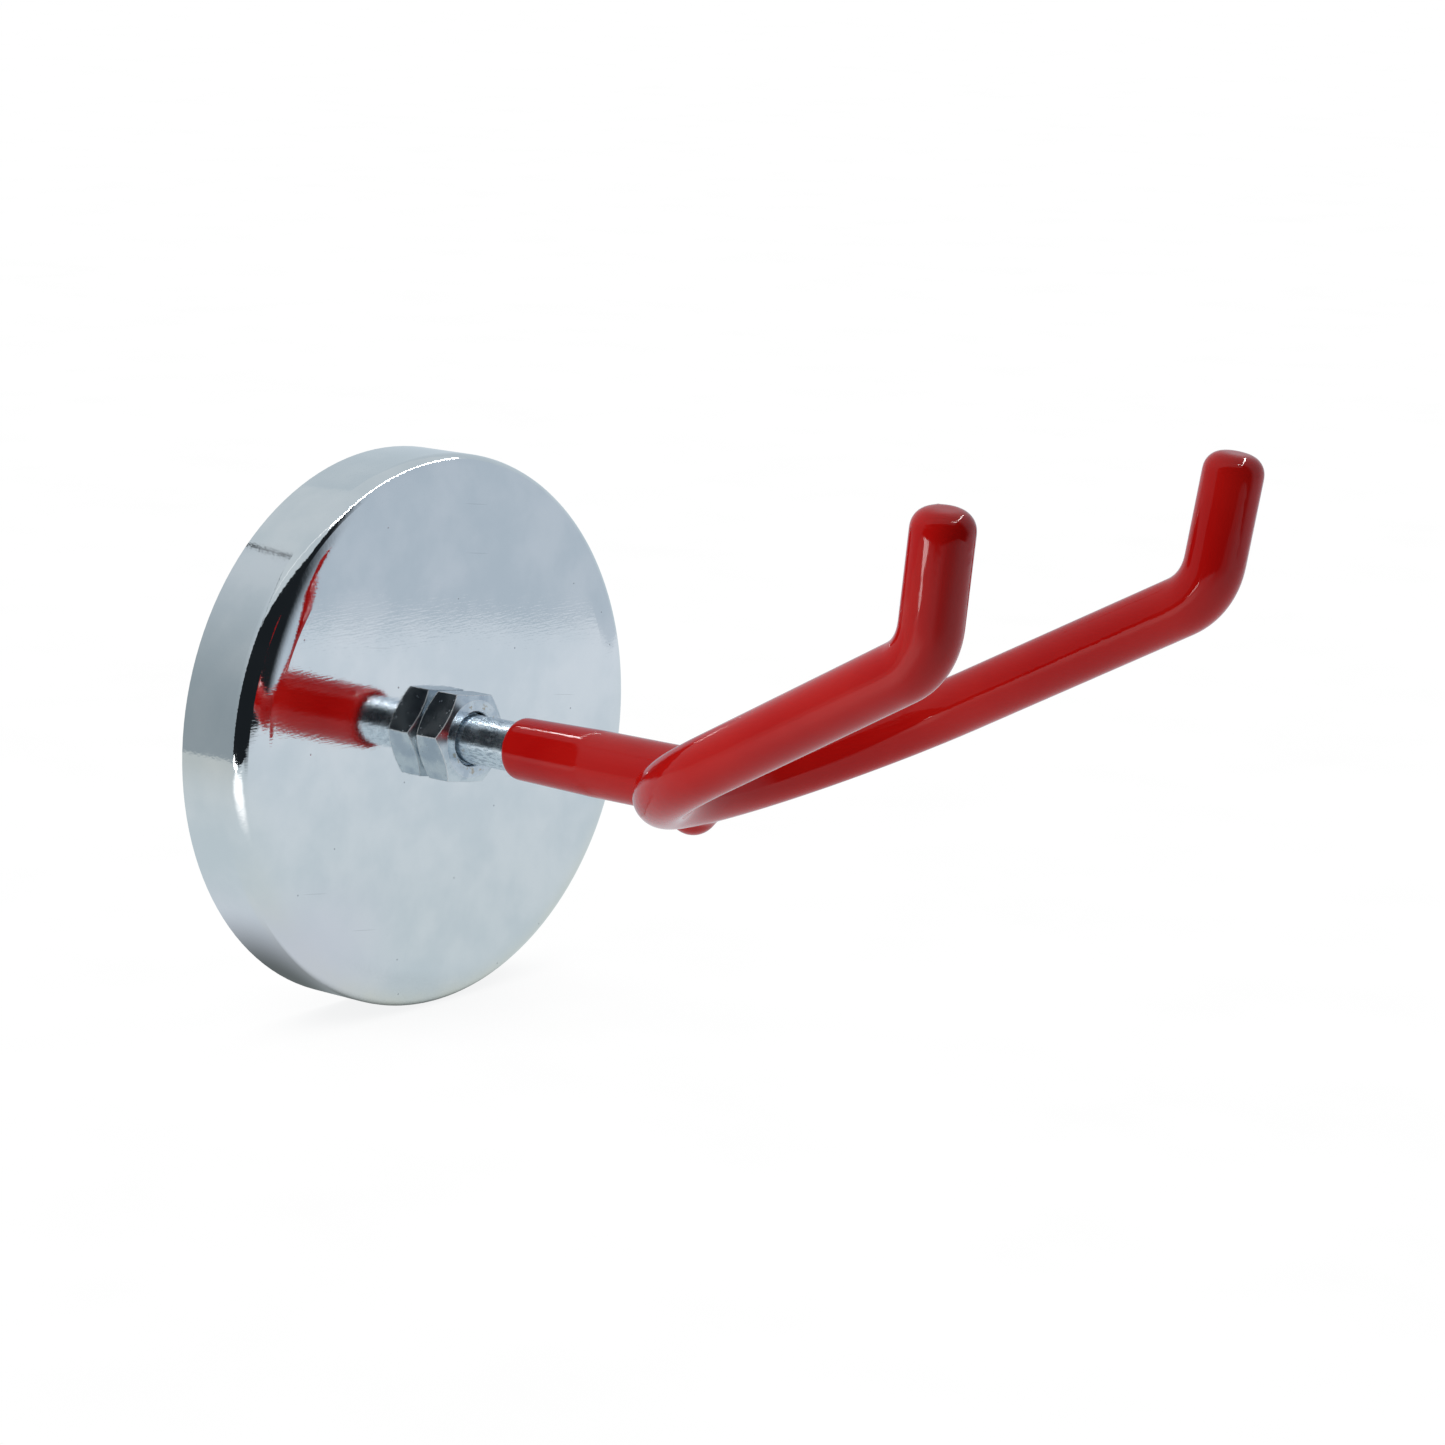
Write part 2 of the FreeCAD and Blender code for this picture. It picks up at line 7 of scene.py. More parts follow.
import bpy
import numpy as np
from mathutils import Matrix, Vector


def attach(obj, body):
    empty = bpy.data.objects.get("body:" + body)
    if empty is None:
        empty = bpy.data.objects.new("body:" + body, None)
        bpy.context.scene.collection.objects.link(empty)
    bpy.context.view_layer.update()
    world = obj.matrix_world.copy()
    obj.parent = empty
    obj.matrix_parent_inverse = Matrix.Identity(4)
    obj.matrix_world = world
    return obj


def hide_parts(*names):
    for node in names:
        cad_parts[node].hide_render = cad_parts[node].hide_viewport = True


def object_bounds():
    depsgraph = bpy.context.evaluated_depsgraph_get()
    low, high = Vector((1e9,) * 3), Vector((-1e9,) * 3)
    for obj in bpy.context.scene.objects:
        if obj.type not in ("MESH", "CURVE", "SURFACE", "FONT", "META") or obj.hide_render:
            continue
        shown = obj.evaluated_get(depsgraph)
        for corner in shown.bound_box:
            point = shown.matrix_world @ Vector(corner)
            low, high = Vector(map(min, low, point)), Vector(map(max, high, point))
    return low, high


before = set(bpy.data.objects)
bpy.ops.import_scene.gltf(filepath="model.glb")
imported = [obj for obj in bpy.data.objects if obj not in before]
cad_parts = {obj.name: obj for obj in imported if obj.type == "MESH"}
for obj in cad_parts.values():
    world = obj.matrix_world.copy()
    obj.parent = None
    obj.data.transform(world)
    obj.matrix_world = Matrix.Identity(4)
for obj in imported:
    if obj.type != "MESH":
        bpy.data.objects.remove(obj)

import openvdb
from mathutils import Matrix, Vector

CAD_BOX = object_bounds()
TABLE = CAD_BOX[0][2]
MM = 0.001

# The dipped skin
SKIN_VOXEL = 0.3 * MM
FILLET = 1.8 * MM        # how far the liquid plastisol rounds an inner corner
SKIN_SHRINK = 0.03 * MM  # what the smoothing takes off the skin
SKIN_SMOOTHING = 14      # passes of smoothing that take the voxel steps out

# The nuts' sharp edges
NUT_EDGE_ROUND = 0.25 * MM
NUT_EDGE_ANGLE = 20      # an edge that turns by more degrees than this is rounded

# The cup, in millimetres along the stem from the wall
FACE_BEGINS = (11.4, 12.2)
SHOULDER = (8.5, 12.2)
BRUSH_TILT = 0.15        # radians between the scratches and the level

# The camera
VIEW_AZIMUTH = 39.75
VIEW_ELEVATION = 12.04
VIEW_ROLL = 0.77
VIEW_DISTANCE = 0.608
VIEW_LENS = 109.3
VIEW_CENTRE = Vector((60.0, 0.0, 0.0)) * MM
VIEW_SHIFT_RIGHT = 3.85 * MM
VIEW_SHIFT_UP = 8.4 * MM

# The studio is a small light tent with an open front. Its axes follow the camera: across is to the
# camera's right, forward is towards the camera, and heights are the frame's.
TENT_SIDE = 0.31
TENT_BACK = -0.35
TENT_FRONT = 0.30
TENT_HEIGHT = 0.36
RIGHT_WALL_FRONT = 0.16
LEFT_WALL_FRONT = 0.24
WALL_FADE = 0.09         # how far the right wall's front end takes to go dark
SEAM = 0.008             # the dark gap between the left wall and the roof
FLOOR_REACH = 8.0        # half the side of the floor
FLOOR_GAP = 0.02 * MM    # how far the floor is below the cup's rim

# The key light, in the same axes
KEY_ACROSS = -0.09
KEY_FORWARD = 0.19
KEY_HEIGHT = 0.15
KEY_SIZE = 0.12
KEY_POWER = 0.18

LAMP = 32.0              # how bright the roof's right and corner gaps are
SUNNY_SHARE = 0.35       # the sunlit patch of table, as a share of that
SOFT_SHARE = 0.04        # the roof's front gap, as a share of it
FILL = 0.75              # the share of the tent's light that reaches matt surfaces
DARK_ROOM = (0.013, 0.016, 0.019)
WHITE = (1.0, 1.0, 1.0)

# The shade on the table: darkest behind the cup's rim, and soft wherever the object is close above
CUP_SHADE = Vector((-0.010, -0.014, TABLE))
CUP_SHADE_RADII = (0.004, 0.024)
CONTACT_REACH = 0.05
CONTACT_ENDS = (0.16, 0.22)  # distances from the stem's wall end over which the soft shade stops


class Tree:
    """A node tree, with a short call for each kind of node that the finishes share."""

    def __init__(self, owner):
        owner.use_nodes = True
        self.tree = owner.node_tree
        self.tree.nodes.clear()

    def feed(self, socket, value):
        """Link the socket to another one, or set its value."""
        if isinstance(value, bpy.types.NodeSocket):
            self.tree.links.new(value, socket)
        elif isinstance(value, tuple) and len(value) == 3 and len(socket.default_value) == 4:
            socket.default_value = (*value, 1.0)
        else:
            socket.default_value = value

    def node(self, kind, inputs=None, **settings):
        """A new node of this kind, with its inputs fed and its settings made."""
        made = self.tree.nodes.new(kind)
        for name, value in settings.items():
            setattr(made, name, value)
        for name, value in (inputs or {}).items():
            self.feed(made.inputs[name], value)
        return made

    def math(self, operation, *values):
        """The result of one operation on plain numbers or sockets."""
        made = self.tree.nodes.new("ShaderNodeMath")
        made.operation = operation
        for socket, value in zip(made.inputs, values):
            self.feed(socket, value)
        return made.outputs[0]

    def mix(self, factor, first, second):
        """From the first colour at 0 to the second at 1."""
        made = self.tree.nodes.new("ShaderNodeMix")
        made.data_type = "RGBA"
        self.feed(made.inputs["Factor"], factor)
        self.feed(made.inputs[6], first)
        self.feed(made.inputs[7], second)
        return made.outputs[2]

    def ramp(self, value, low, high, start=0.0, end=1.0):
        """A smooth step from start to end while the value goes from low to high."""
        inputs = {"Value": value, "From Min": low, "From Max": high, "To Min": start, "To Max": end}
        made = self.node("ShaderNodeMapRange", inputs, interpolation_type="SMOOTHSTEP")
        return made.outputs[0]

    def window(self, value, span, feather):
        """1 while the value is inside the span, with soft ends."""
        rise = self.ramp(value, span[0] - feather, span[0] + feather)
        fall = self.ramp(value, span[1] - feather, span[1] + feather)
        return self.math("SUBTRACT", rise, fall)

    def place(self, stretch=(1, 1, 1)):
        """The point on the object in millimetres, scaled along each axis."""
        coordinates = self.node("ShaderNodeTexCoord").outputs["Object"]
        scale = tuple(factor / MM for factor in stretch)
        inputs = {0: coordinates, 1: scale}
        return self.node("ShaderNodeVectorMath", inputs, operation="MULTIPLY").outputs[0]

    def noise(self, place, grain, detail=2.0):
        """Noise of about this grain in millimetres, between 0 and 1."""
        inputs = {"Vector": place, "Scale": 1.0 / grain, "Detail": detail}
        return self.node("ShaderNodeTexNoise", inputs).outputs[0]

    def specks(self, place, spacing, radius, dimensions="3D"):
        """1 inside round specks of about this radius, roughly this far apart."""
        inputs = {"Vector": place, "Scale": 1.0 / spacing}
        cells = self.node("ShaderNodeTexVoronoi", inputs, voronoi_dimensions=dimensions)
        return self.ramp(cells.outputs["Distance"], radius / spacing, 0.5 * radius / spacing)

    def edges(self, radius):
        """0 on flat faces, 1 on edges within this radius in millimetres."""
        rounded = self.node("ShaderNodeBevel", {"Radius": radius * MM}, samples=8).outputs[0]
        face = self.node("ShaderNodeNewGeometry").outputs["True Normal"]
        return self.ramp(self.reach(rounded, face), 0.995, 0.94)

    def bump(self, height, depth, normal=None):
        """A bump whose full height is this depth in millimetres."""
        inputs = {"Height": height, "Distance": depth * MM}
        if normal is not None:
            inputs["Normal"] = normal
        return self.node("ShaderNodeBump", inputs).outputs[0]

    def reach(self, vector, axis):
        """How far a vector goes along an axis."""
        inputs = {0: vector, 1: axis}
        return self.node("ShaderNodeVectorMath", inputs, operation="DOT_PRODUCT").outputs["Value"]

    def shine(self, colour):
        """Give the material this light, weaker where it only fills in the matt surfaces."""
        path = self.node("ShaderNodeLightPath")
        loss = self.math("MULTIPLY", path.outputs["Is Diffuse Ray"], 1.0 - FILL)
        strength = self.math("SUBTRACT", 1.0, loss)
        self.show(self.node("ShaderNodeEmission", {"Color": colour, "Strength": strength}))

    def show(self, shader, output="ShaderNodeOutputMaterial"):
        """Make this shader what the tree shows."""
        self.feed(self.node(output).inputs[0], shader.outputs[0])

    def split(self, vector):
        """The vector's X, Y and Z."""
        return self.node("ShaderNodeSeparateXYZ", {0: vector}).outputs

    def length(self, vector):
        """How long the vector is."""
        return self.node("ShaderNodeVectorMath", {0: vector}, operation="LENGTH").outputs["Value"]


def finish(name, paint):
    """A material whose surface is the Principled inputs that paint returns."""
    material = bpy.data.materials.new(name)
    tree = Tree(material)
    tree.show(tree.node("ShaderNodeBsdfPrincipled", paint(tree)))
    return material


def metal_surface(colour, roughness, normal):
    """The Principled inputs of a bare or plated metal."""
    return {"Base Color": colour, "Metallic": 1.0, "Roughness": roughness, "Normal": normal}


def chrome_marks(tree, x, y, z):
    """1 inside the pits and 1 inside the short scratches, both on the cup's face only."""
    face = tree.ramp(x, *FACE_BEGINS)
    across = tree.node("ShaderNodeCombineXYZ", {0: y, 1: z}).outputs[0]
    along = tree.node("ShaderNodeVectorRotate", {"Vector": across, "Angle": BRUSH_TILT}).outputs[0]
    drawn_out = tree.node("ShaderNodeVectorMath", {0: along, 1: (0.03, 1.0, 1.0)}, operation="MULTIPLY")
    pits = tree.specks(across, 17.0, 0.17, "2D")
    scratches = tree.specks(drawn_out.outputs[0], 5.0, 0.09, "2D")
    return tree.math("MULTIPLY", pits, face), tree.math("MULTIPLY", scratches, face)


def chrome_tint(tree, x, y, z, haze):
    """Blue-grey chrome, with painted reflections tinted in: warm low on the shoulder and a little lilac low
    on the -Y side.
    """
    # painted reflection: a warm tint low on the shoulder, patchy with the haze
    low = tree.math("MULTIPLY", tree.ramp(z, -8.0, -34.0), tree.window(x, SHOULDER, 0.6))
    # painted reflection: a lilac tint low on the -Y side
    lilac = tree.math("MULTIPLY", tree.ramp(y, -6.0, -30.0), tree.ramp(z, -14.0, -28.0))
    colour = tree.mix(tree.ramp(haze, 0.3, 0.7), (0.70, 0.74, 0.76), (0.79, 0.81, 0.82))
    colour = tree.mix(tree.math("MULTIPLY", low, haze), colour, (0.80, 0.76, 0.60))
    return tree.mix(tree.math("MULTIPLY", lilac, 0.8), colour, (0.76, 0.74, 0.80))


def chrome(tree):
    """Bright chrome on a lightly brushed pressing: lines along Y, haze, pits, scratches, faint painted
    reflections.
    """
    x, y, z = tree.split(tree.place())
    pits, scratches = chrome_marks(tree, x, y, z)
    brush = tree.noise(tree.place((0.5, 0.10, 1)), 0.30, 3)
    peel = tree.noise(tree.place(), 0.45, 3)
    haze = tree.noise(tree.place(), 9.0, 3)
    waves = tree.noise(tree.place(), 22.0, 1)
    colour = chrome_tint(tree, x, y, z, haze)
    colour = tree.mix(tree.math("MULTIPLY", pits, 0.7), colour, (0.30, 0.31, 0.33))
    colour = tree.mix(tree.math("MULTIPLY", scratches, 0.25), colour, (0.45, 0.46, 0.48))
    roughness = tree.ramp(haze, 0.3, 0.75, 0.03, 0.08)
    normal = tree.bump(waves, 0.05)
    normal = tree.bump(peel, 0.0035, normal)
    normal = tree.bump(brush, 0.0045, normal)
    normal = tree.bump(pits, -0.01, normal)
    return metal_surface(colour, roughness, normal)


def zinc_rod(tree):
    """Bright zinc on a drawn rod: dark broken streaks along the stem and a fine draw grain."""
    streaks = tree.noise(tree.place((0.25, 1, 1)), 0.30, 4)
    mottle = tree.noise(tree.place(), 1.6, 4)
    draw = tree.noise(tree.place((0.05, 1, 1)), 0.15, 2)
    colour = tree.mix(mottle, (0.72, 0.80, 0.86), (0.86, 0.91, 0.95))
    colour = tree.mix(tree.ramp(streaks, 0.5, 0.58, 0.0, 0.6), colour, (0.26, 0.32, 0.39))
    roughness = tree.ramp(mottle, 0.3, 0.7, 0.22, 0.32)
    normal = tree.bump(streaks, 0.006)
    normal = tree.bump(draw, 0.003, normal)
    return metal_surface(colour, roughness, normal)


def mouth_rust(tree):
    """1 inside the rust spots around the nut's mouth."""
    mouth = tree.window(tree.length(tree.place((0, 1, 1))), (4.2, 5.2), 0.3)
    return tree.math("MULTIPLY", tree.ramp(tree.noise(tree.place(), 0.9, 3), 0.58, 0.66), mouth)


def zinc_nut(tree):
    """Satin zinc on a forged nut: mottling, painted highlights along the edges, flecks, pinholes, rust
    specks near the mouth.
    """
    mottle = tree.noise(tree.place(), 2.6, 3)
    grain = tree.noise(tree.place(), 0.22, 2)
    pinholes = tree.specks(tree.place(), 1.9, 0.10)
    flecks = tree.specks(tree.place((1.3, 1, 1)), 0.9, 0.13)
    edges = tree.edges(0.26)
    colour = tree.mix(tree.ramp(mottle, 0.35, 0.65), (0.48, 0.54, 0.60), (0.66, 0.71, 0.74))
    colour = tree.mix(tree.math("MULTIPLY", pinholes, 0.6), colour, (0.16, 0.16, 0.16))
    colour = tree.mix(tree.math("MULTIPLY", mouth_rust(tree), 0.6), colour, (0.36, 0.27, 0.15))
    # painted highlight: the edges are made pale
    colour = tree.mix(edges, colour, (0.94, 0.96, 0.97))
    roughness = tree.ramp(mottle, 0.3, 0.7, 0.16, 0.24)
    roughness = tree.math("ADD", roughness, tree.math("MULTIPLY", flecks, 0.35))
    # painted highlight: the edges are made less metallic, so the key light brightens them
    metal = tree.math("SUBTRACT", 1.0, tree.math("MULTIPLY", edges, 0.85))
    normal = tree.bump(mottle, 0.007)
    normal = tree.bump(grain, 0.003, normal)
    normal = tree.bump(flecks, 0.012, normal)
    normal = tree.bump(pinholes, -0.03, normal)
    return {"Base Color": colour, "Metallic": metal, "Roughness": roughness, "Normal": normal}


def plastisol(tree):
    """Glossy red dip: slow waves left by the wet skin, fine orange peel and dust nibs."""
    tone = tree.noise(tree.place(), 14.0, 2)
    flow = tree.noise(tree.place(), 6.0, 1)
    peel = tree.noise(tree.place(), 0.7, 2)
    nibs = tree.specks(tree.place(), 6.0, 0.12)
    colour = tree.mix(tree.ramp(tone, 0.3, 0.7), (0.64, 0.006, 0.005), (0.70, 0.011, 0.008))
    colour = tree.mix(tree.math("MULTIPLY", nibs, 0.5), colour, (0.25, 0.004, 0.003))
    roughness = tree.ramp(tree.noise(tree.place(), 2.5, 3), 0.3, 0.7, 0.045, 0.085)
    normal = tree.bump(flow, 0.05)
    normal = tree.bump(peel, 0.0016, normal)
    normal = tree.bump(nibs, 0.02, normal)
    return {
        "Base Color": colour,
        "Roughness": roughness,
        "IOR": 1.42,
        "Specular IOR Level": 0.34,
        "Normal": normal,
    }


def ferrite(tree):
    """Ground ceramic magnet: charcoal, straight grinding marks and chipped grains."""
    grind = tree.noise(tree.place((1, 1, 0.05)), 0.35, 3)
    grain = tree.noise(tree.place(), 0.5, 5)
    chips = tree.specks(tree.place(), 4.0, 0.3)
    colour = tree.mix(grain, (0.020, 0.021, 0.023), (0.060, 0.062, 0.066))
    colour = tree.mix(tree.ramp(grind, 0.55, 0.75, 0.0, 0.5), colour, (0.11, 0.11, 0.115))
    colour = tree.mix(tree.math("MULTIPLY", chips, 0.6), colour, (0.012, 0.012, 0.013))
    roughness = tree.ramp(grain, 0.3, 0.7, 0.38, 0.62)
    normal = tree.bump(grind, 0.01)
    normal = tree.bump(grain, 0.02, normal)
    normal = tree.bump(chips, -0.08, normal)
    return {"Base Color": colour, "Roughness": roughness, "Normal": normal}


def epoxy(tree):
    """Poured amber epoxy: uneven tint, a wavy meniscus and a few trapped bubbles."""
    tint = tree.noise(tree.place(), 5.0, 3)
    bubbles = tree.specks(tree.place(), 2.2, 0.25)
    colour = tree.mix(tint, (0.30, 0.19, 0.07), (0.48, 0.35, 0.16))
    colour = tree.mix(tree.math("MULTIPLY", bubbles, 0.5), colour, (0.70, 0.62, 0.42))
    roughness = tree.ramp(tint, 0.3, 0.7, 0.15, 0.32)
    normal = tree.bump(tint, 0.12)
    normal = tree.bump(bubbles, 0.05, normal)
    return {"Base Color": colour, "Roughness": roughness, "Normal": normal}


def bare_steel(tree):
    """Drawn steel wire and weld metal under the skin: grey, with mill scale."""
    scale = tree.noise(tree.place(), 2.0, 5)
    grain = tree.noise(tree.place(), 0.3, 3)
    colour = tree.mix(tree.ramp(scale, 0.4, 0.65), (0.42, 0.42, 0.42), (0.16, 0.17, 0.20))
    roughness = tree.ramp(scale, 0.3, 0.7, 0.3, 0.5)
    normal = tree.bump(grain, 0.02)
    return metal_surface(colour, roughness, normal)


def mesh_arrays(thing):
    """The points and triangles of an object's mesh."""
    mesh = thing.data
    mesh.calc_loop_triangles()
    points = np.empty(3 * len(mesh.vertices), np.float32)
    mesh.vertices.foreach_get("co", points)
    triangles = np.empty(3 * len(mesh.loop_triangles), np.int32)
    mesh.loop_triangles.foreach_get("vertices", triangles)
    return points.reshape(-1, 3), triangles.reshape(-1, 3).astype(np.uint32)


def offset_surface(points, faces, distance):
    """The surface this far outside a closed surface (inside it when negative)."""
    transform = openvdb.createLinearTransform(voxelSize=SKIN_VOXEL)
    band = abs(distance) / SKIN_VOXEL + 3
    kind = "triangles" if faces.shape[1] == 3 else "quads"
    field = openvdb.FloatGrid.createLevelSetFromPolygons(
        points, transform=transform, halfWidth=band, **{kind: faces}
    )
    return field.convertToQuads(isovalue=distance)


def make_skin(material):
    """The dipped skin: the CAD coat with every inner corner rounded, as the liquid leaves it."""
    points, faces = mesh_arrays(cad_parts["dipped_coat"])
    points, faces = offset_surface(points, faces, FILLET)
    points, faces = offset_surface(points, faces, SKIN_SHRINK - FILLET)
    mesh = bpy.data.meshes.new("dipped_skin")
    mesh.from_pydata(points.tolist(), [], faces.tolist())
    mesh.validate()
    mesh.shade_smooth()
    mesh.materials.append(material)
    skin = bpy.data.objects.new("dipped_skin", mesh)
    bpy.context.scene.collection.objects.link(skin)
    smooth = skin.modifiers.new("settle", "SMOOTH")
    smooth.factor = 0.5
    smooth.iterations = SKIN_SMOOTHING
    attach(skin, "hook")
    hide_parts("dipped_coat")


def dress_nodes(finishes):
    """Give every CAD node its finish, and break the nuts' sharp edges."""
    for name, material in finishes.items():
        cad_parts[name].data.materials[0] = material
    for name in ("lock_nut", "rear_nut"):
        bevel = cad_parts[name].modifiers.new("worn_edges", "BEVEL")
        bevel.width = NUT_EDGE_ROUND
        bevel.segments = 3
        bevel.limit_method = "ANGLE"
        bevel.angle_limit = math.radians(NUT_EDGE_ANGLE)
        bevel.harden_normals = True


def view_axes():
    """The camera's level right-hand direction and the level direction towards the camera."""
    azimuth = math.radians(VIEW_AZIMUTH)
    across = Vector((math.cos(azimuth), math.sin(azimuth), 0.0))
    forward = Vector((math.sin(azimuth), -math.cos(azimuth), 0.0))
    return across, forward


def add_sheet(name, corners, material):
    """A four-cornered sheet of the studio, given by (across, forward, height) corners."""
    across, forward = view_axes()
    points = [across * right + forward * near + Vector((0.0, 0.0, up)) for right, near, up in corners]
    mesh = bpy.data.meshes.new(name)
    mesh.from_pydata(points, [], [(0, 1, 2, 3)])
    mesh.materials.append(material)
    sheet = bpy.data.objects.new(name, mesh)
    bpy.context.scene.collection.objects.link(sheet)
    return sheet


def lamp(name, strength):
    """A plain white light of this strength."""
    material = bpy.data.materials.new(name)
    Tree(material).shine((strength, strength, strength))
    return material


def glow(name, low, high, height, open_end=None):
    """Lit fabric: one colour at the stem's height, another this far above it, dark at an open front end."""
    material = bpy.data.materials.new(name)
    tree = Tree(material)
    point = tree.node("ShaderNodeTexCoord").outputs["Object"]
    colour = tree.mix(tree.ramp(tree.split(point)[2], 0.0, height), low, high)
    if open_end is not None:
        forward = tree.reach(point, view_axes()[1])
        colour = tree.mix(tree.ramp(forward, open_end - WALL_FADE, open_end), colour, DARK_ROOM)
    tree.shine(colour)
    return material


def wall(name, start, end, top, material):
    """An upright sheet of the tent between two (across, forward) points, unseen by the camera."""
    corners = [(*start, TABLE), (*end, TABLE), (*end, top), (*start, top)]
    add_sheet(name, corners, material).visible_camera = False


def level_sheet(name, across, forward, height, material):
    """A level sheet of the tent over these spans, unseen by the camera."""
    (left, right), (back, front) = across, forward
    corners = [(left, back, height), (right, back, height), (right, front, height), (left, front, height)]
    sheet = add_sheet(name, corners, material)
    sheet.visible_camera = False
    return sheet


def add_tent():
    """Three walls and a roof of lit fabric, with a dark seam at the top of the left wall."""
    left = glow("left_fabric", (0.33, 0.38, 0.41), (0.60, 0.66, 0.71), 0.34)
    right = glow("right_fabric", (0.55, 0.62, 0.70), (0.53, 0.60, 0.68), 0.30, RIGHT_WALL_FRONT)
    back = glow("back_fabric", (0.58, 0.66, 0.72), (0.56, 0.63, 0.68), 0.30)
    top = glow("roof_fabric", (0.62, 0.68, 0.72), (0.62, 0.68, 0.72), 0.30)
    sides = (-TENT_SIDE, TENT_SIDE)
    left_foot = (-TENT_SIDE, TENT_BACK)
    right_foot = (TENT_SIDE, TENT_BACK)
    wall("left_wall", left_foot, (-TENT_SIDE, LEFT_WALL_FRONT), TENT_HEIGHT - SEAM, left)
    wall("right_wall", right_foot, (TENT_SIDE, RIGHT_WALL_FRONT), TENT_HEIGHT, right)
    wall("back_wall", left_foot, right_foot, TENT_HEIGHT, back)
    level_sheet("roof", sides, (TENT_BACK, TENT_FRONT), TENT_HEIGHT, top)


def add_lamps():
    """Lit gaps along the roof's front and right edges and a sunlit patch of table, for reflections only."""
    bright = lamp("bright_gap", LAMP)
    sunny = lamp("sunny_table", SUNNY_SHARE * LAMP)
    soft = lamp("soft_gap", SOFT_SHARE * LAMP)
    under_roof = TENT_HEIGHT - 0.01
    on_table = TABLE + 0.001
    gaps = (
        ("front_gap", (-0.26, 0.20), (0.15, 0.158), under_roof, soft),
        ("corner_gap", (0.20, 0.285), (0.15, 0.165), under_roof, bright),
        ("right_gap", (0.269, 0.283), (-0.30, 0.15), under_roof, bright),
        ("table_patch", (-0.27, -0.12), (0.225, 0.28), on_table, sunny),
    )
    for gap in gaps:
        level_sheet(*gap).visible_diffuse = False


def add_key_light():
    """The soft light from the left. Mirror finishes see the tent instead."""
    across, forward = view_axes()
    light = bpy.data.lights.new("key_light", "AREA")
    light.size = KEY_SIZE
    light.energy = KEY_POWER
    key = bpy.data.objects.new("key_light", light)
    bpy.context.scene.collection.objects.link(key)
    key.location = across * KEY_ACROSS + forward * KEY_FORWARD + Vector((0.0, 0.0, KEY_HEIGHT))
    key.rotation_euler = (VIEW_CENTRE - key.location).to_track_quat("-Z", "Y").to_euler()
    key.visible_glossy = False
    key.visible_camera = False


def dark_room():
    """The unlit room outside the tent; the camera itself sees plain white."""
    world = bpy.data.worlds.new("room")
    bpy.context.scene.world = world
    tree = Tree(world)
    seen = tree.node("ShaderNodeLightPath").outputs["Is Camera Ray"]
    background = tree.node("ShaderNodeBackground", {"Color": tree.mix(seen, DARK_ROOM, WHITE)})
    tree.show(background, "ShaderNodeOutputWorld")


def patch(tree, across, forward, spans, feather):
    """1 inside a rectangle of the table, given by its (across, forward) spans."""
    return tree.math(
        "MULTIPLY", tree.window(across, spans[0], feather[0]), tree.window(forward, spans[1], feather[1])
    )


def lit_table(tree, point):
    """The table as the object sees it: cool light in the tent, a sunlit band, painted shade over its front
    right, and dark outside.
    """
    across, forward = (tree.reach(point, axis) for axis in view_axes())
    tent = ((-TENT_SIDE, TENT_SIDE), (TENT_BACK, TENT_FRONT - 0.01))
    inside = patch(tree, across, forward, tent, (0.004, 0.006))
    sunlit = patch(tree, across, forward, ((-0.13, 0.01), (0.11, 0.22)), (0.03, 0.03))
    # painted shade: the front right of the table is darkened
    painted_shade_front_right = tree.math("MULTIPLY", tree.ramp(across, 0.05, 0.12), tree.ramp(forward, 0.16, 0.26))
    lit = tree.mix(tree.ramp(across, 0.0, TENT_SIDE), (0.66, 0.73, 0.77), (0.74, 0.80, 0.87))
    lit = tree.mix(tree.ramp(across, -0.05, -0.25), lit, (0.60, 0.64, 0.64))
    lit = tree.mix(sunlit, lit, (1.5, 1.5, 1.5))
    lit = tree.mix(tree.math("MULTIPLY", painted_shade_front_right, 0.6), lit, DARK_ROOM)
    return tree.mix(inside, DARK_ROOM, lit)


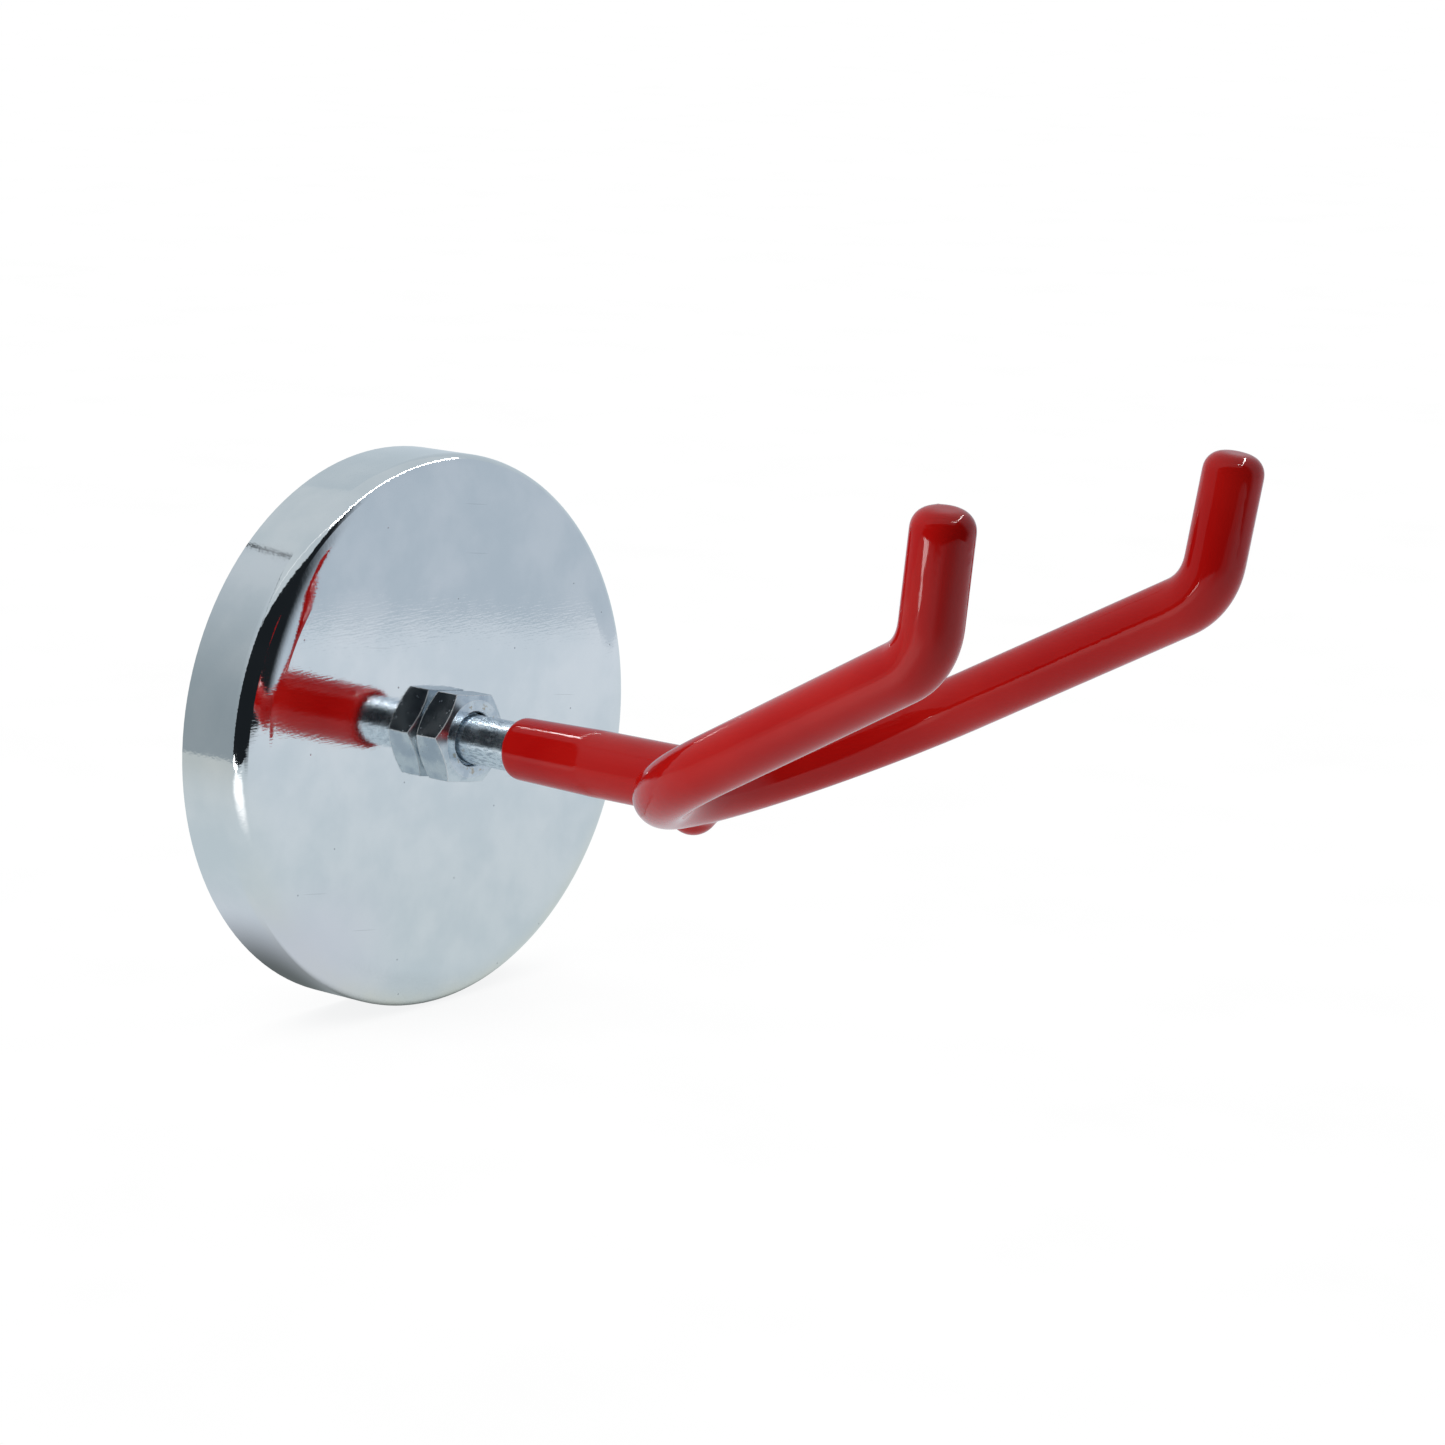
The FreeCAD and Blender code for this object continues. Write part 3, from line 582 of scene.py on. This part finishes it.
def table_top():
    """White to the camera, with a soft contact shade; to the object, the tent's lit table and no more."""
    material = bpy.data.materials.new("pale_table")
    tree = Tree(material)
    point = tree.node("ShaderNodeTexCoord").outputs["Object"]
    nearby = tree.node("ShaderNodeAmbientOcclusion", {"Distance": CONTACT_REACH}, samples=8)
    open_air = tree.math("MAXIMUM", nearby.outputs["AO"], tree.ramp(tree.length(point), *CONTACT_ENDS))
    beside = tree.node("ShaderNodeVectorMath", {0: point, 1: CUP_SHADE}, operation="DISTANCE")
    clear = tree.ramp(beside.outputs["Value"], *CUP_SHADE_RADII)
    clear = tree.math("MULTIPLY", clear, tree.ramp(open_air, 0.08, 0.5))
    lit = tree.mix(clear, (0.13, 0.148, 0.148), lit_table(tree, point))
    grain = tree.noise(tree.place(), 25.0, 2)
    pale = tree.mix(grain, (0.985, 0.985, 0.985), (1.02, 1.02, 1.02))
    seen_colour = tree.mix(tree.ramp(open_air, 0.1, 0.8), (0.88, 0.885, 0.89), pale)
    seen = tree.node("ShaderNodeLightPath").outputs["Is Camera Ray"]
    tree.shine(tree.mix(seen, lit, seen_colour))
    return material


def add_floor():
    """The pale floor, just under the cup's rim."""
    height = TABLE - FLOOR_GAP
    signs = ((-1, -1), (1, -1), (1, 1), (-1, 1))
    corners = [(across * FLOOR_REACH, forward * FLOOR_REACH, height) for across, forward in signs]
    add_sheet("floor", corners, table_top())


def add_camera():
    """The camera at the reference view, a little rolled."""
    azimuth, elevation, roll = (
        math.radians(angle) for angle in (VIEW_AZIMUTH, VIEW_ELEVATION, VIEW_ROLL)
    )
    back = Vector(
        (
            math.sin(azimuth) * math.cos(elevation),
            -math.cos(azimuth) * math.cos(elevation),
            math.sin(elevation),
        )
    )
    level = view_axes()[0]
    upright = back.cross(level)
    right = level * math.cos(roll) + upright * math.sin(roll)
    up = upright * math.cos(roll) - level * math.sin(roll)
    target = VIEW_CENTRE + right * VIEW_SHIFT_RIGHT + up * VIEW_SHIFT_UP
    lens = bpy.data.cameras.new("camera")
    lens.lens = VIEW_LENS
    lens.sensor_width = 36.0
    lens.clip_start = 0.01
    camera = bpy.data.objects.new("camera", lens)
    bpy.context.scene.collection.objects.link(camera)
    turn = Matrix((right, up, back)).transposed().to_4x4()
    camera.matrix_world = Matrix.Translation(target + back * VIEW_DISTANCE) @ turn
    bpy.context.scene.camera = camera


def main():
    nut_plate = finish("satin_zinc", zinc_nut)
    steel = finish("bare_wire", bare_steel)
    dress_nodes(
        {
            "magnet_cup": finish("bright_chrome", chrome),
            "ring_magnet": finish("ground_ferrite", ferrite),
            "magnet_adhesive": finish("amber_epoxy", epoxy),
            "stem_rod": finish("drawn_zinc", zinc_rod),
            "lock_nut": nut_plate,
            "rear_nut": nut_plate,
            "prong_rod": steel,
            "weld_bead": steel,
        }
    )
    make_skin(finish("red_dip", plastisol))
    dark_room()
    add_tent()
    add_lamps()
    add_key_light()
    add_floor()
    add_camera()
    bpy.context.scene.view_settings.view_transform = "Standard"


main()
